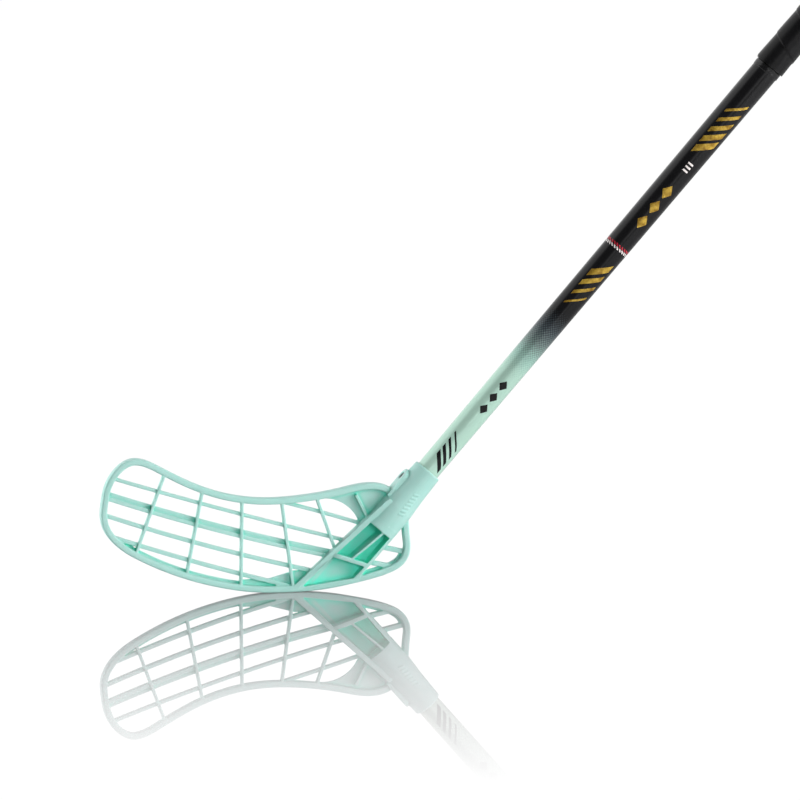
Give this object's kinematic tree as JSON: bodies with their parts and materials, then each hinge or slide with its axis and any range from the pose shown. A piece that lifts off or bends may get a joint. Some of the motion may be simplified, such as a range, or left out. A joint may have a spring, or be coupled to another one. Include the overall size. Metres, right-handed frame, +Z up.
{
  "type": "floorball stick",
  "caption": "Floorball stick: curved open-lattice blade with a hosel screwed onto a tapered hollow shaft, a wound hand grip with finishing tape, and an end cap.",
  "frame": {"origin": "on the shaft's axis, at the middle of the wound hand grip", "axes": "+Z up with the blade standing on its sole, +X from the blade's toe toward its heel and on to the butt end, +Y from the blade's hollow front side to its back"},
  "size_m": [0.8573, 0.0396, 0.7304],
  "materials": {
    "blade_plastic": "moulded polyethylene, satin, mint green",
    "screw_steel": "dark plated steel",
    "shaft_composite": "clear-coated composite, black fading to mint green",
    "grip_foam": "soft polyurethane wrap, black, matt",
    "tape_film": "thin black film, slightly wrinkled",
    "cap_rubber": "moulded black rubber"
  },
  "bodies": {
    "stick": {"shaft": "shaft_composite", "blade": "blade_plastic", "grip_wrap": "grip_foam", "grip_finishing_tape": "tape_film"},
    "screw": {"blade_screw": "screw_steel"},
    "cap": {"end_cap": "cap_rubber"}
  },
  "joints": [
    {"name": "screw_withdraw", "type": "slide", "parent": "stick", "child": "screw", "axis": [-0.7536, 0, 0.6574], "range_m": [0, 0.016]},
    {"name": "end_cap_pull", "type": "slide", "parent": "stick", "child": "cap", "axis": [0.6574, 0, 0.7536], "range_m": [0, 0.036]}
  ]
}
